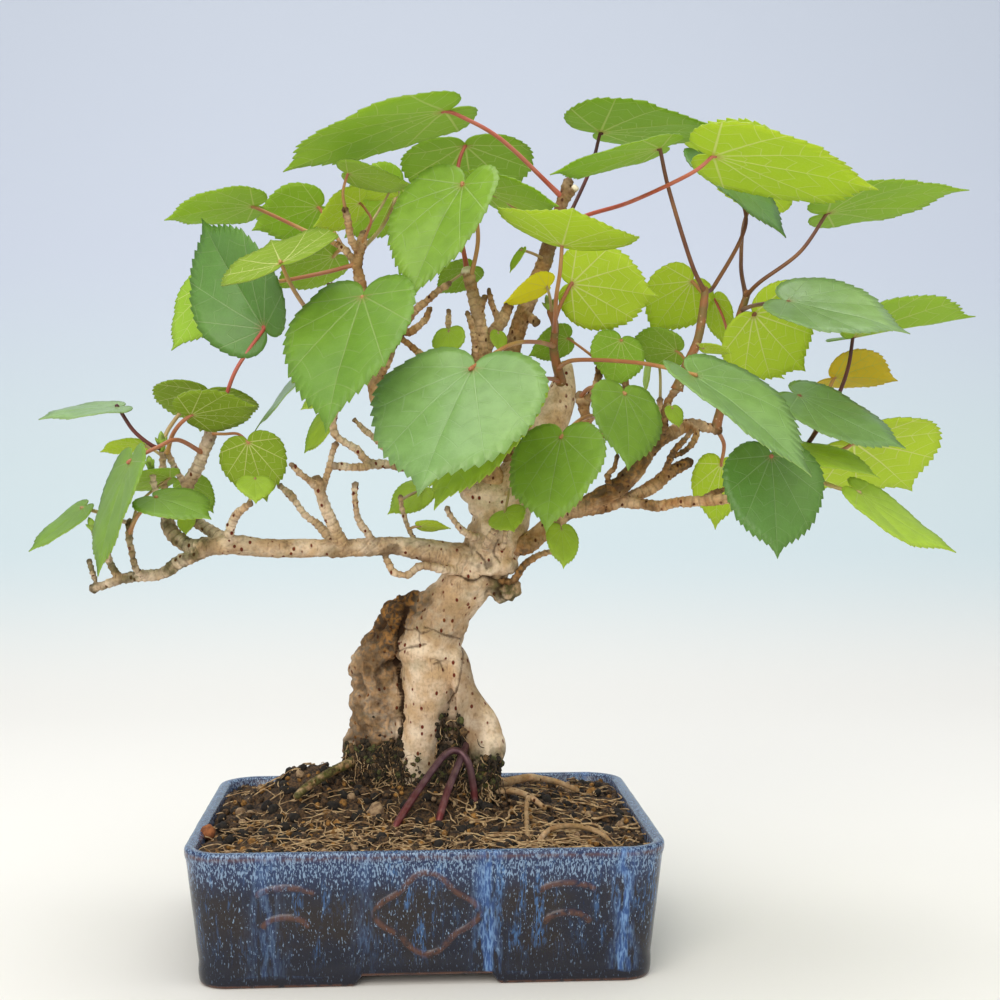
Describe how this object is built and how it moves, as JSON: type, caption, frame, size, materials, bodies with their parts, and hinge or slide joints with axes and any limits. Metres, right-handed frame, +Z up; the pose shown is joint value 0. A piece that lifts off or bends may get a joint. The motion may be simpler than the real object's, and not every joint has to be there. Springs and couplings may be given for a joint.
{
  "type": "sea hibiscus bonsai",
  "caption": "Broad heart-leaved bonsai with a thick pale trunk, corky aerial roots and a long left branch, in a low rectangular glazed pot.",
  "frame": {"origin": "middle of the bounding box, on the floor under the pot", "axes": "+Z up, +Y away from the front face of the pot, +X to the right seen from the front"},
  "size_m": [0.463, 0.208, 0.409],
  "materials": {
    "pot_glaze": "dark blue running glaze with pale blue speckle, thin and brown on the edges",
    "soil": "rough granules with fine dry roots",
    "wire": "brown anodised soft wire, satin",
    "drain_mesh": "black moulded mesh",
    "bark": "pale tan bark with brown lenticels, corky and mossy on the left root",
    "leaf": "thin living leaf, soft sheen above, lighter and translucent from below"
  },
  "bodies": {
    "root": {"pot": "pot_glaze", "soil": "soil", "tie_wire": "wire", "drain_mesh_left": "drain_mesh", "drain_mesh_right": "drain_mesh", "tree": "bark", "leaf_01": "leaf", "leaf_02": "leaf", "leaf_03": "leaf", "leaf_04": "leaf", "leaf_05": "leaf", "leaf_06": "leaf", "leaf_07": "leaf", "leaf_08": "leaf", "leaf_09": "leaf", "leaf_10": "leaf", "leaf_11": "leaf", "leaf_12": "leaf", "leaf_13": "leaf", "leaf_14": "leaf", "leaf_15": "leaf", "leaf_16": "leaf", "leaf_17": "leaf", "leaf_18": "leaf", "leaf_19": "leaf", "leaf_20": "leaf", "leaf_21": "leaf", "leaf_22": "leaf", "leaf_23": "leaf", "leaf_24": "leaf", "leaf_25": "leaf", "leaf_26": "leaf", "leaf_27": "leaf", "leaf_28": "leaf", "leaf_29": "leaf", "leaf_30": "leaf", "leaf_31": "leaf", "leaf_32": "leaf", "leaf_33": "leaf", "leaf_34": "leaf", "leaf_35": "leaf", "leaf_36": "leaf", "leaf_37": "leaf", "leaf_38": "leaf", "leaf_39": "leaf", "leaf_40": "leaf", "leaf_41": "leaf", "leaf_42": "leaf", "leaf_43": "leaf", "leaf_44": "leaf", "leaf_45": "leaf", "leaf_46": "leaf", "leaf_47": "leaf", "leaf_48": "leaf", "leaf_49": "leaf", "leaf_50": "leaf", "leaf_51": "leaf", "leaf_52": "leaf", "leaf_53": "leaf", "leaf_54": "leaf"}
  },
  "joints": []
}
